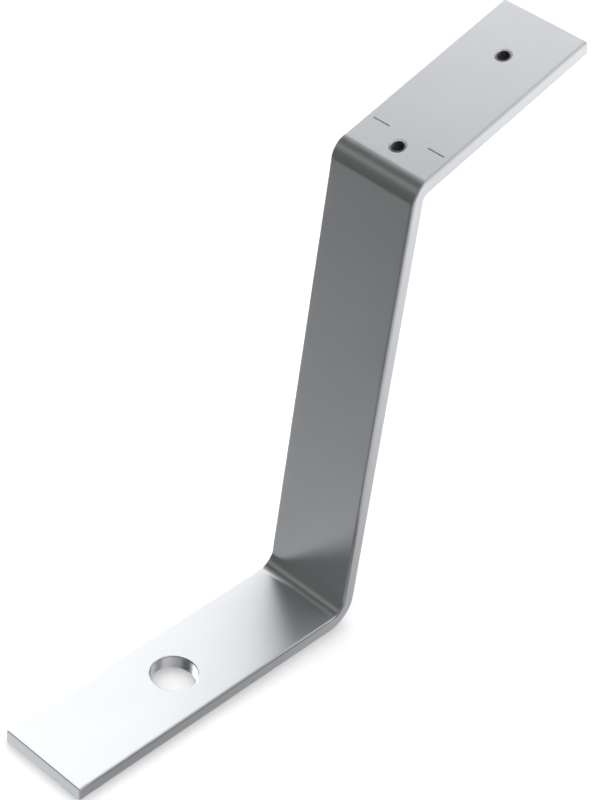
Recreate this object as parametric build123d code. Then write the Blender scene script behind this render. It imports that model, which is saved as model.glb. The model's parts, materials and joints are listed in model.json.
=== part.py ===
"""Roof bracket: one flat steel bar bent into a foot, a riser and a raised, sloping top plate,
with two threaded inserts pressed into the top plate.

Millimetres, +Z up, +Y from the foot towards the top plate, X across the bar.
The origin is the centre of the foot's bolt hole, on the underside that rests on the roof.
"""
import os
from math import cos, radians, sin, tan

from build123d import *

# Flat bar
BAR_WIDTH = 40.0
BAR_THICKNESS = 6.0
LOWER_BEND_INNER_RADIUS = 6.0
UPPER_BEND_INNER_RADIUS = 3.0
EDGE_ROUNDING = 1.0
CUT_END_EDGE_BREAK = 0.3

# Lengths along the front face, between the sharp corners where its flat stretches would meet
FOOT_LENGTH = 140.0
RISER_LENGTH = 197.0
TOP_LENGTH = 94.0

# Slopes above the horizontal, in degrees, going from the foot to the top plate
FOOT_SLOPE = 0.0
RISER_SLOPE = 87.5
TOP_SLOPE = 17.0

# Bolt hole in the foot: coarse clearance for an M16 bolt
FOOT_HOLE_DIAMETER = 18.5
FOOT_HOLE_FROM_END = 67.0
FOOT_HOLE_EDGE_BREAK = 0.4

# Threaded inserts in the top plate: M5, pressed in from below, flush with the upper face
THREAD_BORE_DIAMETER = 4.2
THREAD_LEAD_IN = 0.5
SHANK_DIAMETER = 6.4
SHANK_CLEARANCE = 0.05
PRESS_BAND_HEIGHT = 1.5
PRESS_INTERFERENCE = 0.04
COLLAR_OVERHANG = 1.3
COLLAR_HEIGHT = 2.0
COLLAR_CHAMFER = 0.3
INSERT_HOLE_EDGE_BREAK = 0.15
FIRST_INSERT_FROM_BEND = 6.6
INSERT_SPACING = 57.5

# Positioning marks scribed across the top plate, one from near each long edge
MARK_FROM_FIRST_INSERT = 5.6
MARK_FROM_SIDE = 3.0
MARK_LENGTH = 8.0
MARK_WIDTH = 0.5
MARK_DEPTH = 0.25

MATCH_TOLERANCE = 0.01

LOWER_BEND_OUTER_RADIUS = LOWER_BEND_INNER_RADIUS + BAR_THICKNESS
UPPER_BEND_OUTER_RADIUS = UPPER_BEND_INNER_RADIUS + BAR_THICKNESS
INSERT_HOLE_RADIUS = SHANK_DIAMETER / 2 + SHANK_CLEARANCE
TOP_BEND_LENGTH = UPPER_BEND_OUTER_RADIUS * tan(radians(RISER_SLOPE - TOP_SLOPE) / 2)
FIRST_INSERT_PLACE = TOP_BEND_LENGTH + FIRST_INSERT_FROM_BEND
INSERT_PLACES = {
    "threaded_insert_near_bend": FIRST_INSERT_PLACE,
    "threaded_insert_near_end": FIRST_INSERT_PLACE + INSERT_SPACING,
}


def moved(point, slope, distance):
    """The (y, z) point reached from another by going a distance along a slope."""
    angle = radians(slope)
    return point[0] + distance * cos(angle), point[1] + distance * sin(angle)


def behind(point, slope_before, slope_after):
    """The sharp corner of the back face that lies behind a corner of the front face."""
    middle_slope = (slope_before + slope_after) / 2
    half_turn = radians(slope_after - slope_before) / 2
    return moved(point, middle_slope - 90, BAR_THICKNESS / cos(half_turn))


# Sharp corners of the two faces, in the (y, z) plane
foot_end = (-FOOT_HOLE_FROM_END, BAR_THICKNESS)
lower_corner = moved(foot_end, FOOT_SLOPE, FOOT_LENGTH)
upper_corner = moved(lower_corner, RISER_SLOPE, RISER_LENGTH)
top_end = moved(upper_corner, TOP_SLOPE, TOP_LENGTH)
back_foot_end = behind(foot_end, FOOT_SLOPE, FOOT_SLOPE)
back_lower_corner = behind(lower_corner, FOOT_SLOPE, RISER_SLOPE)
back_upper_corner = behind(upper_corner, RISER_SLOPE, TOP_SLOPE)
back_top_end = behind(top_end, TOP_SLOPE, TOP_SLOPE)

# The top plate's own plane: x across the bar, y along the plate from the upper corner,
# z out of its upper face
top_plane = Plane(
    origin=(0, upper_corner[0], upper_corner[1]),
    x_dir=(1, 0, 0),
    z_dir=(0, *moved((0, 0), TOP_SLOPE + 90, 1)),
)


def bar_profile():
    """Side view of the bent bar, as a face in the YZ plane."""
    front = FilletPolyline(
        foot_end, lower_corner, upper_corner, top_end,
        radius=[LOWER_BEND_INNER_RADIUS, UPPER_BEND_OUTER_RADIUS],
    )
    back = FilletPolyline(
        back_top_end, back_upper_corner, back_lower_corner, back_foot_end,
        radius=[UPPER_BEND_INNER_RADIUS, LOWER_BEND_OUTER_RADIUS],
    )
    cut_ends = Line(top_end, back_top_end) + Line(back_foot_end, foot_end)
    return Plane.YZ * make_face(front + back + cut_ends)


def is_cut_end(face):
    """True for the two faces where the bar was cut to length."""
    middle = face.center()
    return any(
        abs(middle.Y - (front[0] + back[0]) / 2) < MATCH_TOLERANCE
        and abs(middle.Z - (front[1] + back[1]) / 2) < MATCH_TOLERANCE
        for front, back in ((foot_end, back_foot_end), (top_end, back_top_end))
    )


def is_long_edge(edge):
    """True for the edges that run along the bar's sides, through its bends."""
    return abs(abs(edge.center().X) - BAR_WIDTH / 2) < MATCH_TOLERANCE


def rounded_bar():
    """The bent bar, with its long edges rolled round and the edges of its cut ends broken."""
    bar = extrude(bar_profile(), amount=BAR_WIDTH / 2, both=True)
    end_edges = bar.faces().filter_by(is_cut_end).edges()
    long_edges = [edge for edge in bar.edges().filter_by(is_long_edge) if edge not in end_edges]
    bar = fillet(long_edges, radius=EDGE_ROUNDING)
    return fillet(bar.faces().filter_by(is_cut_end).edges(), radius=CUT_END_EDGE_BREAK)


def drill(radius, edge_break):
    """Cutter for a hole through the bar, with a small edge break at its mouth at z = 0."""
    hang = (Align.CENTER, Align.CENTER, Align.MAX)
    shaft = Cylinder(radius, BAR_THICKNESS, align=hang)
    mouth = Cone(radius, radius + edge_break, edge_break, align=hang)
    return shaft + mouth


def bracket_bar():
    """The bent bar with its bolt hole, its insert holes and its scribed marks."""
    bar = rounded_bar()
    bar -= Pos(0, 0, BAR_THICKNESS) * drill(FOOT_HOLE_DIAMETER / 2, FOOT_HOLE_EDGE_BREAK)
    for place in INSERT_PLACES.values():
        bar -= top_plane * Pos(0, place, 0) * drill(INSERT_HOLE_RADIUS, INSERT_HOLE_EDGE_BREAK)
    mark = Box(MARK_LENGTH, MARK_WIDTH, 2 * MARK_DEPTH)
    mark_middle = BAR_WIDTH / 2 - MARK_FROM_SIDE - MARK_LENGTH / 2
    for side in (-1, 1):
        spot = Pos(side * mark_middle, FIRST_INSERT_PLACE + MARK_FROM_FIRST_INSERT, 0)
        bar -= top_plane * spot * mark
    return bar


def threaded_insert():
    """One insert, upright, with its upper face at z = 0."""
    bore = THREAD_BORE_DIAMETER / 2
    shank = SHANK_DIAMETER / 2
    press_band = INSERT_HOLE_RADIUS + PRESS_INTERFERENCE
    collar = shank + COLLAR_OVERHANG
    seat = -BAR_THICKNESS
    bottom = seat - COLLAR_HEIGHT
    half_section = Polyline(
        (bore, bottom + THREAD_LEAD_IN),
        (bore + THREAD_LEAD_IN, bottom),
        (collar - COLLAR_CHAMFER, bottom),
        (collar, bottom + COLLAR_CHAMFER),
        (collar, seat),
        (press_band, seat),
        (press_band, seat + PRESS_BAND_HEIGHT),
        (shank, seat + PRESS_BAND_HEIGHT),
        (shank, 0),
        (bore + THREAD_LEAD_IN, 0),
        (bore, -THREAD_LEAD_IN),
        close=True,
    )
    return revolve(Plane.XZ * make_face(half_section), axis=Axis.Z)


os.makedirs("parts", exist_ok=True)
export_step(bracket_bar(), "parts/bracket_bar.step")
for node, place in INSERT_PLACES.items():
    export_step(top_plane * Pos(0, place, 0) * threaded_insert(), f"parts/{node}.step")
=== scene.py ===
"""Looks of the roof bracket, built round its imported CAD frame. Metres, in the CAD frame."""
import json
from math import atan2, cos, hypot, pi, radians, sin, tan

import bmesh
import bpy
from mathutils import Matrix, Vector


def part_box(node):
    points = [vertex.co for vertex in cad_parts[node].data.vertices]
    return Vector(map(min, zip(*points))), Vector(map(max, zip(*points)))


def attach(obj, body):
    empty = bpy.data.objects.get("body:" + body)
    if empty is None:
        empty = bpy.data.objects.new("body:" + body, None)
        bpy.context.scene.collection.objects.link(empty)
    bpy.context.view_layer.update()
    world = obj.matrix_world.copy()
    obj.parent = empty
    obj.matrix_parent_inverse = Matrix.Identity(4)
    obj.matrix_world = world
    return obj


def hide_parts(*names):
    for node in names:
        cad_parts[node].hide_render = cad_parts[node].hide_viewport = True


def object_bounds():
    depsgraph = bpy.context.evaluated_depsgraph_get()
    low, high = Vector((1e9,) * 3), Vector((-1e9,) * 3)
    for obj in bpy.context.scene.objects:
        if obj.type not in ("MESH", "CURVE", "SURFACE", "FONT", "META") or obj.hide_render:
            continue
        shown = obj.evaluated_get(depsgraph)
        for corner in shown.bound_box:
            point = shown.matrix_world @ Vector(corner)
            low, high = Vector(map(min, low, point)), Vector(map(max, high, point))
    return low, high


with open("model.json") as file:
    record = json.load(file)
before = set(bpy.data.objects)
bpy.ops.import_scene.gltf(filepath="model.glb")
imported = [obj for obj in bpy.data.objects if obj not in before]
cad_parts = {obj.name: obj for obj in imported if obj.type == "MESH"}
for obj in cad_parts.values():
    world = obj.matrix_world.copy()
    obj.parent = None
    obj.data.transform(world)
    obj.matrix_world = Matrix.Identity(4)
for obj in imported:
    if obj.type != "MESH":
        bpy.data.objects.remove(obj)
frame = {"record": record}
cad_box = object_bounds()

# ---------------------------------------------------------------- sizes
MM = 0.001
BAR_THICKNESS = 6.0 * MM
LOWER_BEND_INNER_RADIUS = 6.0 * MM
UPPER_BEND_INNER_RADIUS = 3.0 * MM
EDGE_ROUNDING = 1.0 * MM
CUT_END_EDGE_BREAK = 0.3 * MM
FOOT_LENGTH = 140.0 * MM
RISER_LENGTH = 197.0 * MM
TOP_LENGTH = 94.0 * MM
RISER_SLOPE = 87.5
FOOT_RIM = 0.4 * MM
INSERT_RIM = 0.15 * MM
SHANK_RADIUS = 3.2 * MM
SHANK_CLEARANCE = 0.05 * MM
COLLAR_RADIUS = 4.5 * MM
COLLAR_HEIGHT = 2.0 * MM
COLLAR_TEETH = 36
TOOTH_DEPTH = 0.18 * MM
THREAD_PITCH = 0.8 * MM
THREAD_DEPTH = 0.433 * MM
LEAD_IN = 0.5 * MM
MARK_LENGTH = 8.0 * MM
MARK_WIDTH = 0.6 * MM
MARK_DEPTH = 0.3 * MM
MARK_FROM_SIDE = 3.0 * MM
MARK_FROM_FIRST_INSERT = 5.6 * MM

# How finely the meshes are divided: along the flats, in degrees round the bends, and by count
FLAT_STEP = 4.0 * MM
BEND_STEP = 3.0
CORNER_STEPS = 8
FACE_STEPS = 16
SIDE_STEPS = 4
HOLE_STEPS = 128
RIM_STEPS = 4

# Studio
CAMERA_LENS = 111.75
CAMERA_AZIMUTH = 39.48
CAMERA_ELEVATION = 38.355
CAMERA_ROLL = 6.57
CAMERA_DISTANCE = 911.15 * MM
CAMERA_OFFSET = (0.21 * MM, -2.15 * MM)
ROOM_LIGHT = 1.15
FLAG_TONE = (0.13, 0.13, 0.135)
FLAG_GAP = 30 * MM
FLAG_ALONG = (-50 * MM, 95 * MM)
FLAG_HEIGHT = (-20 * MM, 30 * MM)

bar_low, bar_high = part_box("bracket_bar")
half_width = bar_high.x
mounts = {m["name"]: m for m in frame["record"]["mounts"]}
top_normal = Vector(mounts["top_seat"]["axis"])
TOP_SLOPE = atan2(-top_normal.y, top_normal.z) * 180 / pi
UPPER_BEND_OUTER_RADIUS = UPPER_BEND_INNER_RADIUS + BAR_THICKNESS


# ---------------------------------------------------------------- mesh helpers
def new_object(name, mesh):
    obj = bpy.data.objects.new(name, mesh)
    bpy.context.scene.collection.objects.link(obj)
    return obj


def mesh_from_rings(name, rings, close_rings=False):
    """A tube of quads through rings of points; its two ends are capped, or joined to each other."""
    count = len(rings[0])
    verts = [point for ring in rings for point in ring]
    faces = []
    last = len(rings) if close_rings else len(rings) - 1
    for i in range(last):
        a, b = i * count, ((i + 1) % len(rings)) * count
        for j in range(count):
            k = (j + 1) % count
            faces.append((a + j, a + k, b + k, b + j))
    if not close_rings:
        faces.append(tuple(reversed(range(count))))
        faces.append(tuple(range(len(verts) - count, len(verts))))
    mesh = bpy.data.meshes.new(name)
    mesh.from_pydata(verts, [], faces)
    return mesh


def clean(mesh, merge=1e-7, smooth_angle=35):
    """Merges doubled points, turns the faces outwards and shades smooth below an angle."""
    bm = bmesh.new()
    bm.from_mesh(mesh)
    bmesh.ops.remove_doubles(bm, verts=bm.verts, dist=merge)
    bmesh.ops.dissolve_degenerate(bm, edges=bm.edges, dist=merge)
    bmesh.ops.recalc_face_normals(bm, faces=bm.faces)
    bm.to_mesh(mesh)
    bm.free()
    for polygon in mesh.polygons:
        polygon.use_smooth = True
    mesh.set_sharp_from_angle(angle=radians(smooth_angle))
    return mesh


def cut(obj, cutters):
    """Cuts solids out of an object's mesh, keeping each cutter's material on the new faces."""
    for cutter in cutters:
        modifier = obj.modifiers.new(cutter.name, "BOOLEAN")
        modifier.operation = "DIFFERENCE"
        modifier.solver = "EXACT"
        modifier.material_mode = "TRANSFER"
        modifier.object = cutter
    depsgraph = bpy.context.evaluated_depsgraph_get()
    result = bpy.data.meshes.new_from_object(obj.evaluated_get(depsgraph))
    obj.modifiers.clear()
    obj.data = result
    for cutter in cutters:
        bpy.data.objects.remove(cutter)


# ---------------------------------------------------------------- the bar's path
def moved(point, slope, distance):
    return point[0] + distance * cos(radians(slope)), point[1] + distance * sin(radians(slope))


foot_end = (bar_low.y, BAR_THICKNESS)
lower_corner = moved(foot_end, 0, FOOT_LENGTH)
upper_corner = moved(lower_corner, RISER_SLOPE, RISER_LENGTH)


def bar_stations():
    """(y, z, slope, travel) along the front face, evenly on the flats and by angle in bends."""
    lower_cut = LOWER_BEND_INNER_RADIUS * tan(radians(RISER_SLOPE) / 2)
    upper_cut = UPPER_BEND_OUTER_RADIUS * tan(radians(RISER_SLOPE - TOP_SLOPE) / 2)
    stretches = [
        (foot_end, 0, FOOT_LENGTH - lower_cut),
        (moved(lower_corner, RISER_SLOPE, lower_cut), RISER_SLOPE, RISER_LENGTH - lower_cut - upper_cut),
        (moved(upper_corner, TOP_SLOPE, upper_cut), TOP_SLOPE, TOP_LENGTH - upper_cut),
    ]
    bends = [
        (LOWER_BEND_INNER_RADIUS, 0, RISER_SLOPE, 1),
        (UPPER_BEND_OUTER_RADIUS, RISER_SLOPE, TOP_SLOPE, -1),
    ]
    stations = []
    travel = 0.0
    for index, (start, slope, length) in enumerate(stretches):
        steps = round(length / FLAT_STEP)
        for step in range(steps + 1):
            y, z = moved(start, slope, length * step / steps)
            stations.append((y, z, slope, travel + length * step / steps))
        travel += length
        if index < len(bends):
            radius, before, after, side = bends[index]
            centre = moved(moved(start, slope, length), before + 90 * side, radius)
            steps = round(abs(after - before) / BEND_STEP)
            for step in range(1, steps):
                now = before + (after - before) * step / steps
                y, z = moved(centre, now - 90 * side, radius)
                arc = radius * radians(abs(now - before))
                stations.append((y, z, now, travel + arc))
            travel += radius * radians(abs(after - before))
    return stations


def section(inset):
    """Rounded rectangle across the bar: (x, depth, around) points, shrunk by an inset all round."""
    radius = max(EDGE_ROUNDING - inset, 0.0)
    right = half_width - inset - radius
    top = -inset - radius
    bottom = -BAR_THICKNESS + inset + radius
    corners = [(right, top, 90), (-right, top, 180), (-right, bottom, 270), (right, bottom, 360)]
    points = []
    for index, (x, depth, end_angle) in enumerate(corners):
        for step in range(CORNER_STEPS + 1):
            angle = radians(end_angle - 90 + 90 * step / CORNER_STEPS)
            points.append((x + radius * cos(angle), depth + radius * sin(angle)))
        next_x, next_depth, _ = corners[(index + 1) % len(corners)]
        start = points[-1]
        flat_end = (
            next_x + radius * cos(radians(end_angle)),
            next_depth + radius * sin(radians(end_angle)),
        )
        steps = FACE_STEPS if index % 2 == 0 else SIDE_STEPS
        for step in range(1, steps):
            share = step / steps
            points.append((
                start[0] + (flat_end[0] - start[0]) * share,
                start[1] + (flat_end[1] - start[1]) * share,
            ))
    return points


def ring_at(y, z, slope, points):
    """Places a cross-section at a point of the path."""
    normal_y, normal_z = moved((0, 0), slope + 90, 1)
    return [(x, y + depth * normal_y, z + depth * normal_z) for x, depth in points]


def quarter_round(radius, step):
    """How far in from an end, and how much smaller, a ring of its rounded-over edge is."""
    turn = pi / 2 * step / CORNER_STEPS
    return radius * (1 - cos(turn)), radius * (1 - sin(turn))


def build_bar():
    """The bent bar: sections along its path, shrinking over the last bit of each cut end."""
    stations = bar_stations()
    total = stations[-1][3]
    rounds = [quarter_round(CUT_END_EDGE_BREAK, step) for step in range(CORNER_STEPS + 1)]
    rings = []
    travels = []
    for reach, inset in rounds:
        y, z, slope, _ = stations[0]
        rings.append(ring_at(*moved((y, z), slope, reach), slope, section(inset)))
        travels.append(reach)
    for y, z, slope, travel in stations[1:-1]:
        rings.append(ring_at(y, z, slope, section(0.0)))
        travels.append(travel)
    for reach, inset in reversed(rounds):
        y, z, slope, _ = stations[-1]
        rings.append(ring_at(*moved((y, z), slope, -reach), slope, section(inset)))
        travels.append(total - reach)
    mesh = mesh_from_rings("bracket_bar_body", rings)
    add_bar_coordinates(mesh, travels)
    return new_object("bracket_bar_body", clean(mesh))


def add_bar_coordinates(mesh, travels):
    """UV in metres: along the bar, and round its section."""
    full = section(0.0)
    around = [0.0]
    for (x0, d0), (x1, d1) in zip(full, full[1:] + full[:1]):
        around.append(around[-1] + hypot(x1 - x0, d1 - d0))
    count = len(full)
    uv = mesh.uv_layers.new(name="UVMap")
    for polygon in mesh.polygons:
        seen = [mesh.loops[i].vertex_index % count for i in polygon.loop_indices]
        wraps = len(seen) == 4 and max(seen) == count - 1 and min(seen) == 0
        for loop_index in polygon.loop_indices:
            vertex = mesh.loops[loop_index].vertex_index
            ring, place = divmod(vertex, count)
            turn = around[place] if not (wraps and place == 0) else around[count]
            uv.data[loop_index].uv = (travels[ring], turn)


# ---------------------------------------------------------------- materials
class Nodes:
    """Short-hand for building a material's node tree."""

    def __init__(self, name):
        self.material = bpy.data.materials.new(name)
        self.material.use_nodes = True
        self.tree = self.material.node_tree
        self.tree.nodes.clear()
        self.output = self.add("ShaderNodeOutputMaterial")
        self.shader = self.add("ShaderNodeBsdfPrincipled")
        self.link(self.shader, "BSDF", self.output, "Surface")

    def add(self, kind, **values):
        node = self.tree.nodes.new(kind)
        for key, value in values.items():
            if hasattr(node, key):
                setattr(node, key, value)
            else:
                node.inputs[key.replace("_", " ")].default_value = value
        return node

    def link(self, source, output, target, target_input):
        self.tree.links.new(source.outputs[output], target.inputs[target_input])

    def stretched(self, coordinates, output, scale):
        mapping = self.add("ShaderNodeMapping")
        mapping.inputs["Scale"].default_value = scale
        self.link(coordinates, output, mapping, "Vector")
        return mapping

    def noise(self, vector, scale, detail=3.0, roughness=0.5):
        node = self.add("ShaderNodeTexNoise")
        node.inputs["Scale"].default_value = scale
        node.inputs["Detail"].default_value = detail
        node.inputs["Roughness"].default_value = roughness
        self.link(vector, "Vector", node, "Vector")
        return node

    def ranged(self, source, output, low, high, from_low=0.3, from_high=0.7):
        node = self.add("ShaderNodeMapRange")
        node.inputs["From Min"].default_value = from_low
        node.inputs["From Max"].default_value = from_high
        node.inputs["To Min"].default_value = low
        node.inputs["To Max"].default_value = high
        self.link(source, output, node, "Value")
        return node


def satin_steel(name, colour, roughness, grain_scale, grain_bump, use_uv=False, brushed=False, spread=0.05):
    """Steel with a fine directional grain, faint cloudy staining and a soft sheen."""
    n = Nodes(name)
    coordinates = n.add("ShaderNodeTexCoord")
    output = "UV" if use_uv else "Object"
    grain = n.noise(n.stretched(coordinates, output, grain_scale), 1.0, detail=4.0, roughness=0.6)
    clouds = n.noise(n.stretched(coordinates, "Object", (1, 1, 1)), 45.0, detail=4.0)
    tone = n.add("ShaderNodeMix", data_type="RGBA")
    tone.inputs[6].default_value = (*[c * 0.965 for c in colour], 1)
    tone.inputs[7].default_value = (*[min(c * 1.035, 1) for c in colour], 1)
    n.link(clouds, "Fac", tone, "Factor")
    n.tree.links.new(tone.outputs[2], n.shader.inputs["Base Color"])
    rough = n.ranged(grain, "Fac", roughness - spread, roughness + spread)
    n.link(rough, "Result", n.shader, "Roughness")
    bump = n.add("ShaderNodeBump")
    bump.inputs["Strength"].default_value = grain_bump
    bump.inputs["Distance"].default_value = 0.02 * MM
    n.link(grain, "Fac", bump, "Height")
    n.link(bump, "Normal", n.shader, "Normal")
    n.shader.inputs["Metallic"].default_value = 1.0
    if brushed:
        tangent = n.add("ShaderNodeTangent", direction_type="UV_MAP", uv_map="UVMap")
        n.link(tangent, "Tangent", n.shader, "Tangent")
        n.shader.inputs["Anisotropic"].default_value = 0.8
        n.shader.inputs["Anisotropic Rotation"].default_value = 0.25
    return n.material


BAR_COLOUR = (0.740, 0.745, 0.760)
bar_steel = satin_steel(
    "brushed_face_steel", BAR_COLOUR, 0.36, (40, 2600, 1), 0.05, use_uv=True, brushed=True, spread=0.03,
)
side_steel = satin_steel("rolled_side_steel", BAR_COLOUR, 0.32, (60, 1200, 1), 0.05, use_uv=True)
end_steel = satin_steel("cut_end_steel", (0.80, 0.805, 0.815), 0.38, (300, 300, 1500), 0.12)
cut_steel = satin_steel("bored_wall_steel", (0.68, 0.685, 0.70), 0.30, (300, 300, 2500), 0.12)
mark_steel = satin_steel("scribed_mark_steel", (0.80, 0.80, 0.81), 0.5, (900, 900, 900), 0.3)
insert_steel = satin_steel("turned_insert_steel", (0.46, 0.465, 0.48), 0.34, (300, 300, 3000), 0.2)
# The threads' near-black base colour is painted shade inside the inserts' bores.
thread_shade_steel = satin_steel("thread_painted_shade_steel", (0.11, 0.11, 0.115), 0.30, (300, 300, 3000), 0.2)

# ---------------------------------------------------------------- cutting the bar
def hole_cutter(name, radius, rim, place, material):
    """Through drill whose upper mouth is eased by a small quarter-round; local z = 0 is the mouth."""
    over = 1.0 * MM
    outline = [(radius, -BAR_THICKNESS - over)]
    for step in range(RIM_STEPS + 1):
        angle = pi / 2 * step / RIM_STEPS
        outline.append((radius + rim * (1 - cos(angle)), -rim + rim * sin(angle)))
    outline.append((radius + rim, over))
    rings = []
    for r, height in outline:
        turns = [2 * pi * step / HOLE_STEPS for step in range(HOLE_STEPS)]
        rings.append([(r * cos(turn), r * sin(turn), height) for turn in turns])
    mesh = mesh_from_rings(name, rings)
    mesh.transform(place)
    clean(mesh)
    mesh.materials.append(material)
    return new_object(name, mesh)


def top_place(along):
    """Matrix of a spot on the top plate's upper face, a distance up from the upper corner."""
    y, z = moved(upper_corner, TOP_SLOPE, along)
    return Matrix.Translation((0, y, z)) @ Matrix.Rotation(radians(TOP_SLOPE), 4, "X")


def insert_along(mount_name):
    """How far up the top plate an insert's axis is, from the mount at its thread."""
    y, z = mounts[mount_name]["pos_m"][1:]
    along = Vector((cos(radians(TOP_SLOPE)), sin(radians(TOP_SLOPE))))
    return (Vector((y, z)) - Vector(upper_corner)).dot(along)


inserts = {
    "threaded_insert_near_bend": insert_along("near_bend_thread"),
    "threaded_insert_near_end": insert_along("near_end_thread"),
}


def mark_cutter(side, place):
    """Vee-bottomed groove of one scribed mark."""
    half = MARK_LENGTH / 2
    middle = side * (half_width - MARK_FROM_SIDE - half)
    lift = MARK_DEPTH
    floor_width = 0.12 * MARK_WIDTH
    outline = [
        (-MARK_WIDTH, lift), (MARK_WIDTH, lift),
        (floor_width, -MARK_DEPTH), (-floor_width, -MARK_DEPTH),
    ]
    rings = []
    for share, size in ((-1.0, 0.3), (-0.94, 1.0), (0.94, 1.0), (1.0, 0.3)):
        x = middle + share * half
        rings.append([(x, y, lift + (height - lift) * size) for y, height in outline])
    mesh = mesh_from_rings("mark", rings)
    mesh.transform(place)
    clean(mesh)
    mesh.materials.append(mark_steel)
    return new_object(f"mark_{side}", mesh)


def paint_bar(mesh):
    """Brushed faces, plainer rolled sides, and dull saw-cut ends."""
    for material in (bar_steel, side_steel, end_steel):
        mesh.materials.append(material)
    ends = [(Vector((0, *foot_end)), Vector((0, -1, 0)))]
    slope = radians(TOP_SLOPE)
    top_end = moved(upper_corner, TOP_SLOPE, TOP_LENGTH)
    ends.append((Vector((0, *top_end)), Vector((0, cos(slope), sin(slope)))))
    for polygon in mesh.polygons:
        if any((polygon.center - corner).dot(way) > -CUT_END_EDGE_BREAK / 3 for corner, way in ends):
            polygon.material_index = 2
        elif abs(polygon.normal.x) > 0.7:
            polygon.material_index = 1


bar = build_bar()
paint_bar(bar.data)
bore = mounts["foot_bolt_hole"]["dims"]
foot_place = Matrix.Translation((0, 0, BAR_THICKNESS))
cutters = [hole_cutter("foot_hole", bore["r_mm"] * MM, FOOT_RIM, foot_place, cut_steel)]
for name, along in inserts.items():
    radius = SHANK_RADIUS + SHANK_CLEARANCE
    cutters.append(hole_cutter(name + "_hole", radius, INSERT_RIM, top_place(along), cut_steel))
mark_place = top_place(inserts["threaded_insert_near_bend"] + MARK_FROM_FIRST_INSERT)
for side in (-1, 1):
    cutters.append(mark_cutter(side, mark_place))
cut(bar, cutters)
clean(bar.data, merge=2e-8)
bar.modifiers.new("flat_face_shading", "WEIGHTED_NORMAL").keep_sharp = True
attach(bar, "root")
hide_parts("bracket_bar")


# ---------------------------------------------------------------- threaded inserts
def thread_radius(height, turn):
    """Radius of the 60-degree internal thread at a height and turn angle."""
    minor = mounts["near_bend_thread"]["dims"]["r_mm"] * MM
    phase = (height / THREAD_PITCH - turn / (2 * pi)) % 1.0
    from_root = abs(phase - 0.5)
    deep = min(max((0.375 - from_root) / 0.3125, 0.0), 1.0)
    return minor + THREAD_DEPTH * deep


def build_insert(name, along):
    """Press-in insert: threaded bore, flat upper ring, plain shank, toothed collar underneath."""
    columns = COLLAR_TEETH * 4
    turns = [2 * pi * column / columns for column in range(columns)]
    bottom = -BAR_THICKNESS - COLLAR_HEIGHT
    mouth = mounts["near_bend_thread"]["dims"]["r_mm"] * MM + LEAD_IN
    rings = []
    rows = round(-bottom / (THREAD_PITCH / 12))
    for row in range(rows + 1):
        height = bottom * (1 - row / rows)
        taper = mouth - min(height - bottom, -height)
        rings.append([
            (max(thread_radius(height, turn), taper), turn, height) for turn in turns
        ])
    ease = 0.1 * MM
    for radius, height in (
        (SHANK_RADIUS - ease, 0.0), (SHANK_RADIUS - 0.3 * ease, -0.3 * ease), (SHANK_RADIUS, -ease),
        (SHANK_RADIUS, -BAR_THICKNESS),
        (COLLAR_RADIUS - 0.2 * MM, -BAR_THICKNESS),
    ):
        rings.append([(radius, turn, height) for turn in turns])
    for height in (-BAR_THICKNESS - 0.1 * MM, bottom + 0.3 * MM):
        rings.append([
            (COLLAR_RADIUS - TOOTH_DEPTH * (column % 4 in (1, 2)), turn, height)
            for column, turn in enumerate(turns)
        ])
    rings.append([(COLLAR_RADIUS - 0.3 * MM, turn, bottom) for turn in turns])
    points = [[(r * cos(t), r * sin(t), z) for r, t, z in ring] for ring in rings]
    mesh = mesh_from_rings(name + "_turned", points, close_rings=True)
    clean(mesh)
    mesh.materials.append(insert_steel)
    mesh.materials.append(thread_shade_steel)
    # Faces inside the bore take the near-black thread colour: painted shade in the bore.
    for polygon in mesh.polygons:
        if hypot(polygon.center.x, polygon.center.y) < mouth - LEAD_IN / 3:
            polygon.material_index = 1
    mesh.transform(top_place(along))
    return new_object(name + "_turned", mesh)


for name, along in inserts.items():
    piece = build_insert(name, along)
    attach(piece, "root")
    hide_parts(name)


# ---------------------------------------------------------------- studio
def studio_floor():
    size = 6.0
    mesh = bpy.data.meshes.new("floor")
    corners = [(-size, -size, 0), (size, -size, 0), (size, size, 0), (-size, size, 0)]
    mesh.from_pydata(corners, [], [(0, 1, 2, 3)])
    floor = new_object("floor", mesh)
    n = Nodes("pale_floor")
    coordinates = n.add("ShaderNodeTexCoord")
    speckle = n.noise(n.stretched(coordinates, "Object", (1, 1, 1)), 60.0)
    tone = n.add("ShaderNodeMix", data_type="RGBA")
    tone.inputs[6].default_value = (0.90, 0.90, 0.905, 1)
    tone.inputs[7].default_value = (0.92, 0.92, 0.925, 1)
    n.link(speckle, "Fac", tone, "Factor")
    n.tree.links.new(tone.outputs[2], n.shader.inputs["Base Color"])
    n.shader.inputs["Roughness"].default_value = 0.9
    n.shader.inputs["Specular IOR Level"].default_value = 0.1
    mesh.materials.append(n.material)
    floor.location.z = cad_box[0].z - 0.05 * MM
    floor.visible_glossy = False


# What the polished faces see, as (angle, tone): the angle turns about the bar's width from
# straight up (0) over the back (90) or the front (-90) to straight down (180 or -180).
LEFT_ROOM = [
    (-180, 0.9), (-154, 1.65), (-147, 0.48), (-141, 0.05), (-134, 0.04), (-126, 0.02), (-104, 0.05),
    (-90, 0.07), (-76, 0.06), (-60, 0.11), (-48, 0.17), (-38, 0.11), (-27, 0.045), (-6, 0.035),
    (4, 0.16), (13, 0.11), (20, 0.25), (27, 0.78), (34, 1.45), (41, 1.70), (47, 0.58), (60, 0.6), (80, 0.6),
    (120, 0.5), (150, 0.6), (180, 0.9),
]
RIGHT_ROOM = [
    (-180, 0.78), (-160, 0.68), (-135, 0.40), (-100, 0.18), (-20, 0.25), (10, 0.9), (34, 0.95), (48, 0.6),
    (80, 0.7), (110, 1.1), (126, 1.2), (130, 1.05), (133.5, 0.86), (137, 0.50), (141, 0.36), (147, 0.27),
    (155, 0.35), (170, 0.70), (180, 0.78),
]
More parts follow.
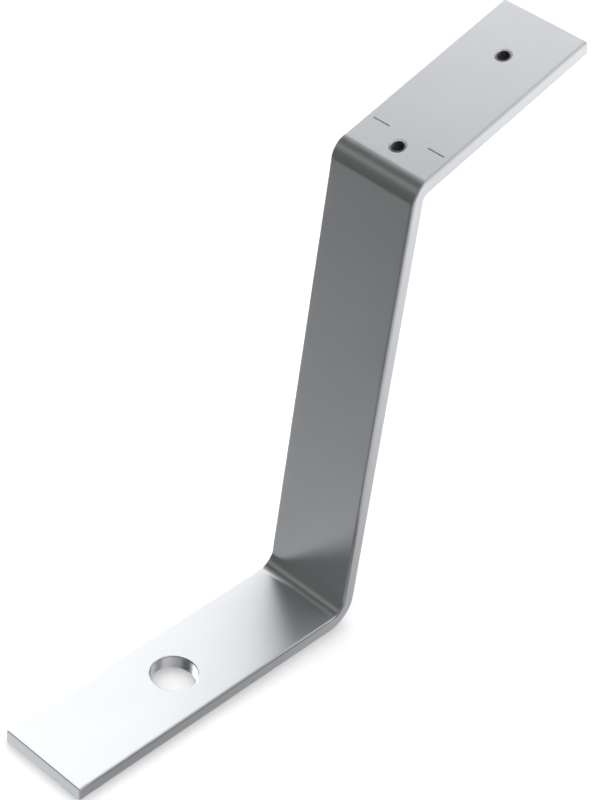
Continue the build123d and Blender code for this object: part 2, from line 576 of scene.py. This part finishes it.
# How the room's left half brightens in an upright strip beside the bracket: (sideways, factor).
SIDE_GLOW = [
    (-1.0, 1.9), (-0.82, 2.6), (-0.68, 2.6), (-0.54, 1.06),
    (-0.44, 1.06), (-0.36, 0.65), (-0.2, 0.85), (1.0, 1.2),
]
DIM_TINT = (1.0, 1.03, 0.99)
BRIGHT_TINT = (0.985, 1.0, 1.015)


def ramp(tree, value, stops, low, high, tinted=True):
    """Colour ramp through stops of (value, tone), from low to high."""
    spread = tree.nodes.new("ShaderNodeMapRange")
    spread.inputs["From Min"].default_value = low
    spread.inputs["From Max"].default_value = high
    tree.links.new(value, spread.inputs["Value"])
    node = tree.nodes.new("ShaderNodeValToRGB")
    node.color_ramp.interpolation = "EASE"
    elements = node.color_ramp.elements
    while len(elements) < len(stops):
        elements.new(0.5)
    for element, (place, tone) in zip(elements, stops):
        tint = (1, 1, 1) if not tinted else DIM_TINT if tone < 0.25 else BRIGHT_TINT
        element.position = (place - low) / (high - low)
        element.color = (*[tone * t for t in tint], 1)
    tree.links.new(spread.outputs["Result"], node.inputs["Fac"])
    return node.outputs["Color"]


def math_node(tree, operation, a, b):
    node = tree.nodes.new("ShaderNodeMath")
    node.operation = operation
    for socket, value in zip(node.inputs, (a, b)):
        if isinstance(value, (int, float)):
            socket.default_value = value
        else:
            tree.links.new(value, socket)
    return node.outputs[0]


def mix_colours(tree, factor, first, second, blend="MIX"):
    node = tree.nodes.new("ShaderNodeMix")
    node.data_type = "RGBA"
    node.blend_type = blend
    sockets = (node.inputs["Factor"], node.inputs[6], node.inputs[7])
    for socket, value in zip(sockets, (factor, first, second)):
        if isinstance(value, (int, float, tuple)):
            socket.default_value = value
        else:
            tree.links.new(value, socket)
    return node.outputs[2]


def studio_world():
    """An even white room for the floor; steel mirrors soft panels behind, and dim air in front."""
    world = bpy.data.worlds.new("studio")
    world.use_nodes = True
    bpy.context.scene.world = world
    tree = world.node_tree
    tree.nodes.clear()
    output = tree.nodes.new("ShaderNodeOutputWorld")
    background = tree.nodes.new("ShaderNodeBackground")
    tree.links.new(background.outputs[0], output.inputs[0])
    coordinates = tree.nodes.new("ShaderNodeTexCoord")
    split = tree.nodes.new("ShaderNodeSeparateXYZ")
    tree.links.new(coordinates.outputs["Generated"], split.inputs[0])
    angle = math_node(tree, "ARCTAN2", split.outputs["Y"], split.outputs["Z"])
    angle = math_node(tree, "MULTIPLY", angle, 180 / pi)
    left = ramp(tree, angle, LEFT_ROOM, -180, 180)
    right = ramp(tree, angle, RIGHT_ROOM, -180, 180)
    glow = ramp(tree, split.outputs["X"], SIDE_GLOW, -1, 1, tinted=False)
    left = mix_colours(tree, 1.0, left, glow, "MULTIPLY")
    side = ramp(tree, split.outputs["X"], [(-0.1, 0.0), (0.3, 1.0)], -1, 1, tinted=False)
    mirrored = mix_colours(tree, side, left, right)
    path = tree.nodes.new("ShaderNodeLightPath")
    plain = (ROOM_LIGHT, ROOM_LIGHT, ROOM_LIGHT, 1)
    room = mix_colours(tree, path.outputs["Is Glossy Ray"], plain, mirrored)
    tree.links.new(room, background.inputs["Color"])


def dark_flag():
    """A black strip beside the foot, seen only in the steel, that darkens the foot's long edge."""
    x = half_width + FLAG_GAP
    (near, far), (low, high) = FLAG_ALONG, FLAG_HEIGHT
    corners = [(x, near, low), (x, far, low), (x, far, high), (x, near, high)]
    mesh = bpy.data.meshes.new("dark_flag")
    mesh.from_pydata(corners, [], [(0, 1, 2, 3)])
    n = Nodes("flag_black")
    n.shader.inputs["Base Color"].default_value = (0.01, 0.01, 0.01, 1)
    n.shader.inputs["Emission Color"].default_value = (*FLAG_TONE, 1)
    n.shader.inputs["Emission Strength"].default_value = 1.0
    mesh.materials.append(n.material)
    flag = new_object("dark_flag", mesh)
    flag.visible_camera = flag.visible_diffuse = flag.visible_shadow = False


def softbox(name, place, aim, size, power, glossy=True):
    light = bpy.data.lights.new(name, "AREA")
    light.shape = "RECTANGLE"
    light.size, light.size_y = size
    light.energy = power
    lamp = new_object(name, light)
    lamp.location = place
    lamp.rotation_mode = "QUATERNION"
    lamp.rotation_quaternion = (Vector(aim) - Vector(place)).to_track_quat("-Z", "Y")
    lamp.visible_glossy = glossy
    return lamp


def studio_camera():
    """Looks down on the bracket from its right front, rolled a little, as in a catalogue view."""
    camera_data = bpy.data.cameras.new("camera")
    camera_data.sensor_width = 36.0
    camera_data.lens = CAMERA_LENS
    camera = new_object("camera", camera_data)
    camera.rotation_mode = "QUATERNION"
    a, e = radians(CAMERA_AZIMUTH), radians(CAMERA_ELEVATION)
    back = Vector((sin(a) * cos(e), -cos(a) * cos(e), sin(e)))
    upright = (-back).to_track_quat("-Z", "Y")
    roll = Matrix.Rotation(radians(CAMERA_ROLL), 3, "Z").to_quaternion()
    turned = upright @ roll
    centre = (cad_box[0] + cad_box[1]) / 2
    camera.location = centre + CAMERA_DISTANCE * back + turned @ Vector((*CAMERA_OFFSET, 0))
    camera.rotation_quaternion = turned
    camera_data.clip_start, camera_data.clip_end = 0.01, 50.0
    bpy.context.scene.camera = camera


studio_floor()
studio_world()
dark_flag()
studio_camera()
softbox("key", (-0.9, 0.4, 1.4), (0, 0.05, 0.1), (1.6, 1.6), 10.0, glossy=False)
view = bpy.context.scene.view_settings
view.view_transform = "Standard"
